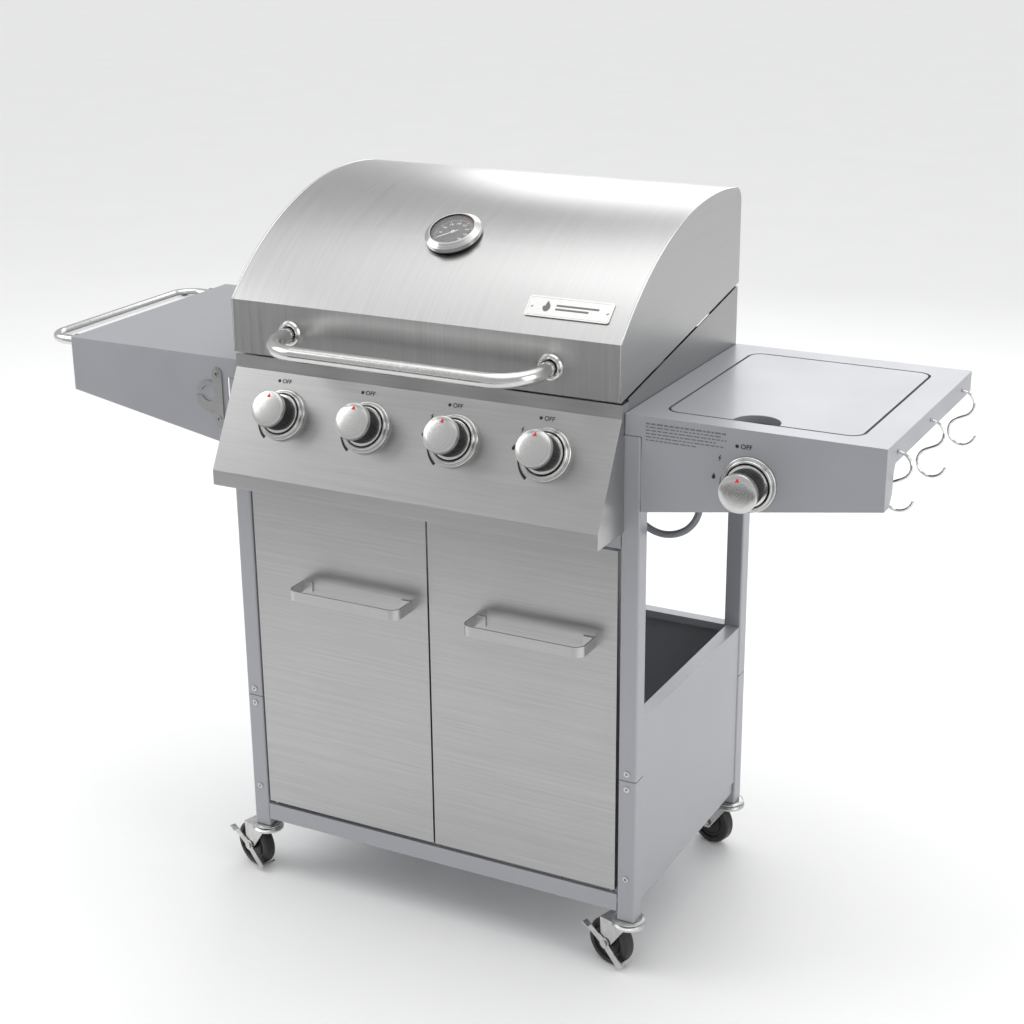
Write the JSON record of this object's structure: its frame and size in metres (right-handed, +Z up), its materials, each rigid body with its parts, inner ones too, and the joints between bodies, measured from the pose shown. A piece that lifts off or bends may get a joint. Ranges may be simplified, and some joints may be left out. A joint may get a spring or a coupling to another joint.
{
  "type": "gas barbecue grill",
  "caption": "Gas barbecue grill: hinged hood over burners and grates, sloped knob panel, two-door cabinet on braked casters, side shelves, side burner, towel rail and hooks.",
  "frame": {"origin": "on the floor, below the middle of the whole footprint: midway across, and midway between the hood handle's front and the rear axle heads", "axes": "+Z up, -Y towards the cook (the front, with doors and knobs), +X to the cook's right"},
  "size_m": [1.4119, 0.5642, 1.1265],
  "materials": {
    "grey_paint": "satin powder coat",
    "brushed": "brushed along the sheet",
    "dark_brushed": "heat-resistant dark steel",
    "polished": "polished",
    "zinc": "bright zinc plate",
    "black_iron": "matt enamel",
    "knob_grip": "plated cap on a black skirt",
    "gauge": "gloss",
    "wheel_black": "matt",
    "hose_black": "semi-matt",
    "brass": "machined"
  },
  "bodies": {
    "cart": {"leg_front_left": "grey_paint", "leg_front_right": "grey_paint", "leg_rear_left": "grey_paint", "leg_rear_right": "grey_paint", "base_shelf": "grey_paint", "kick_rail": "grey_paint", "door_header": "grey_paint", "side_panels": "grey_paint", "back_panel": "grey_paint", "fasteners": "zinc", "caster_stems": "zinc", "firebox": "dark_brushed", "control_panel": "brushed", "knob_bezels": "brushed", "gas_manifold": "brass", "main_burners": "dark_brushed", "heat_tents": "black_iron", "cooking_grates": "black_iron", "warming_rack": "polished", "left_shelf": "grey_paint", "towel_rail": "brushed", "bottle_opener": "brushed", "right_shelf": "grey_paint", "side_burner": "dark_brushed", "side_hose": "hose_black"},
    "hood": {"lid_shell": "brushed", "lid_end_caps": "brushed", "lid_handle": "polished", "thermometer_case": "polished", "nameplate": "brushed"},
    "needle": {"thermometer_needle": "gauge"},
    "left_door": {"door_left": "brushed", "door_handle_left": "brushed"},
    "right_door": {"door_right": "brushed", "door_handle_right": "brushed"},
    "tray": {"grease_tray": "dark_brushed"},
    "burner_lid": {"side_lid": "grey_paint"},
    "hook_front": {"hook_1": "polished"},
    "hook_middle": {"hook_2": "polished"},
    "hook_rear": {"hook_3": "polished"},
    "stem_1": {"stem_1": "zinc"},
    "knob_1": {"knob_1": "knob_grip"},
    "stem_2": {"stem_2": "zinc"},
    "knob_2": {"knob_2": "knob_grip"},
    "stem_3": {"stem_3": "zinc"},
    "knob_3": {"knob_3": "knob_grip"},
    "stem_4": {"stem_4": "zinc"},
    "knob_4": {"knob_4": "knob_grip"},
    "side_stem": {"side_stem": "zinc"},
    "side_knob": {"side_knob": "knob_grip"},
    "caster_front_left": {"caster_fork_front_left": "zinc"},
    "wheel_front_left": {"wheel_front_left": "wheel_black"},
    "brake_front_left": {"brake_front_left": "zinc"},
    "caster_rear_left": {"caster_fork_rear_left": "zinc"},
    "wheel_rear_left": {"wheel_rear_left": "wheel_black"},
    "caster_front_right": {"caster_fork_front_right": "zinc"},
    "wheel_front_right": {"wheel_front_right": "wheel_black"},
    "brake_front_right": {"brake_front_right": "zinc"},
    "caster_rear_right": {"caster_fork_rear_right": "zinc"},
    "wheel_rear_right": {"wheel_rear_right": "wheel_black"}
  },
  "joints": [
    {"name": "hood_hinge", "type": "hinge", "parent": "cart", "child": "hood", "pos_m": [0, 0.25126, 0.972], "axis": [-1, 0, 0], "range_deg": [0, 90]},
    {"name": "needle_turn", "type": "hinge", "parent": "hood", "child": "needle", "pos_m": [-0.006, -0.06055, 1.07264], "axis": [0, 0.4664, -0.8846], "range_deg": [0, 256]},
    {"name": "left_door_hinge", "type": "hinge", "parent": "cart", "child": "left_door", "pos_m": [-0.3, -0.16474, 0.4], "axis": [0, 0, -1], "range_deg": [0, 110]},
    {"name": "right_door_hinge", "type": "hinge", "parent": "cart", "child": "right_door", "pos_m": [0.3, -0.16474, 0.4], "axis": [0, 0, 1], "range_deg": [0, 110]},
    {"name": "tray_slide", "type": "slide", "parent": "cart", "child": "tray", "axis": [0, 1, 0], "range_m": [0, 0.3]},
    {"name": "burner_lid_hinge", "type": "hinge", "parent": "cart", "child": "burner_lid", "pos_m": [0.497, 0.17326, 0.871], "axis": [-1, 0, 0], "range_deg": [0, 95]},
    {"name": "hook_front_swing", "type": "hinge", "parent": "cart", "child": "hook_front", "pos_m": [0.67925, -0.12674, 0.864], "axis": [1, 0, 0], "range_deg": [-4, 35]},
    {"name": "hook_middle_swing", "type": "hinge", "parent": "cart", "child": "hook_middle", "pos_m": [0.67925, 0.02726, 0.864], "axis": [1, 0, 0], "range_deg": [-35, 35]},
    {"name": "hook_rear_swing", "type": "hinge", "parent": "cart", "child": "hook_rear", "pos_m": [0.67925, 0.18726, 0.864], "axis": [1, 0, 0], "range_deg": [-35, 35]},
    {"name": "stem_1_push", "type": "slide", "parent": "cart", "child": "stem_1", "axis": [0, 0.8829, -0.4696], "range_m": [0, 0.003], "stiffness_N_per_m": 900},
    {"name": "knob_1_turn", "type": "hinge", "parent": "stem_1", "child": "knob_1", "pos_m": [-0.216, -0.21124, 0.81754], "axis": [0, -0.8829, 0.4696], "range_deg": [0, 150]},
    {"name": "stem_2_push", "type": "slide", "parent": "cart", "child": "stem_2", "axis": [0, 0.8829, -0.4696], "range_m": [0, 0.003], "stiffness_N_per_m": 900},
    {"name": "knob_2_turn", "type": "hinge", "parent": "stem_2", "child": "knob_2", "pos_m": [-0.072, -0.21124, 0.81754], "axis": [0, -0.8829, 0.4696], "range_deg": [0, 150]},
    {"name": "stem_3_push", "type": "slide", "parent": "cart", "child": "stem_3", "axis": [0, 0.8829, -0.4696], "range_m": [0, 0.003], "stiffness_N_per_m": 900},
    {"name": "knob_3_turn", "type": "hinge", "parent": "stem_3", "child": "knob_3", "pos_m": [0.072, -0.21124, 0.81754], "axis": [0, -0.8829, 0.4696], "range_deg": [0, 150]},
    {"name": "stem_4_push", "type": "slide", "parent": "cart", "child": "stem_4", "axis": [0, 0.8829, -0.4696], "range_m": [0, 0.003], "stiffness_N_per_m": 900},
    {"name": "knob_4_turn", "type": "hinge", "parent": "stem_4", "child": "knob_4", "pos_m": [0.216, -0.21124, 0.81754], "axis": [0, -0.8829, 0.4696], "range_deg": [0, 150]},
    {"name": "side_stem_push", "type": "slide", "parent": "cart", "child": "side_stem", "axis": [0, 1, 0], "range_m": [0, 0.003], "stiffness_N_per_m": 900},
    {"name": "side_knob_turn", "type": "hinge", "parent": "side_stem", "child": "side_knob", "pos_m": [0.497, -0.17274, 0.806], "axis": [0, -1, 0], "range_deg": [0, 150]},
    {"name": "swivel_front_left", "type": "hinge", "parent": "cart", "child": "caster_front_left", "pos_m": [-0.326, -0.15874, 0.088], "axis": [0, 0, 1], "continuous": true},
    {"name": "roll_front_left", "type": "hinge", "parent": "caster_front_left", "child": "wheel_front_left", "pos_m": [-0.35851, -0.1488, 0.038], "axis": [-0.2924, -0.9563, 0], "continuous": true},
    {"name": "brake_front_left_press", "type": "hinge", "parent": "caster_front_left", "child": "brake_front_left", "pos_m": [-0.35851, -0.1488, 0.038], "axis": [-0.2924, -0.9563, 0], "range_deg": [0, 14]},
    {"name": "swivel_rear_left", "type": "hinge", "parent": "cart", "child": "caster_rear_left", "pos_m": [-0.326, 0.25126, 0.088], "axis": [0, 0, 1], "continuous": true},
    {"name": "roll_rear_left", "type": "hinge", "parent": "caster_rear_left", "child": "wheel_rear_left", "pos_m": [-0.35851, 0.2612, 0.038], "axis": [-0.2924, -0.9563, 0], "continuous": true},
    {"name": "swivel_front_right", "type": "hinge", "parent": "cart", "child": "caster_front_right", "pos_m": [0.326, -0.15874, 0.088], "axis": [0, 0, 1], "continuous": true},
    {"name": "roll_front_right", "type": "hinge", "parent": "caster_front_right", "child": "wheel_front_right", "pos_m": [0.29349, -0.1488, 0.038], "axis": [-0.2924, -0.9563, 0], "continuous": true},
    {"name": "brake_front_right_press", "type": "hinge", "parent": "caster_front_right", "child": "brake_front_right", "pos_m": [0.29349, -0.1488, 0.038], "axis": [-0.2924, -0.9563, 0], "range_deg": [0, 14]},
    {"name": "swivel_rear_right", "type": "hinge", "parent": "cart", "child": "caster_rear_right", "pos_m": [0.326, 0.25126, 0.088], "axis": [0, 0, 1], "continuous": true},
    {"name": "roll_rear_right", "type": "hinge", "parent": "caster_rear_right", "child": "wheel_rear_right", "pos_m": [0.29349, 0.2612, 0.038], "axis": [-0.2924, -0.9563, 0], "continuous": true}
  ]
}
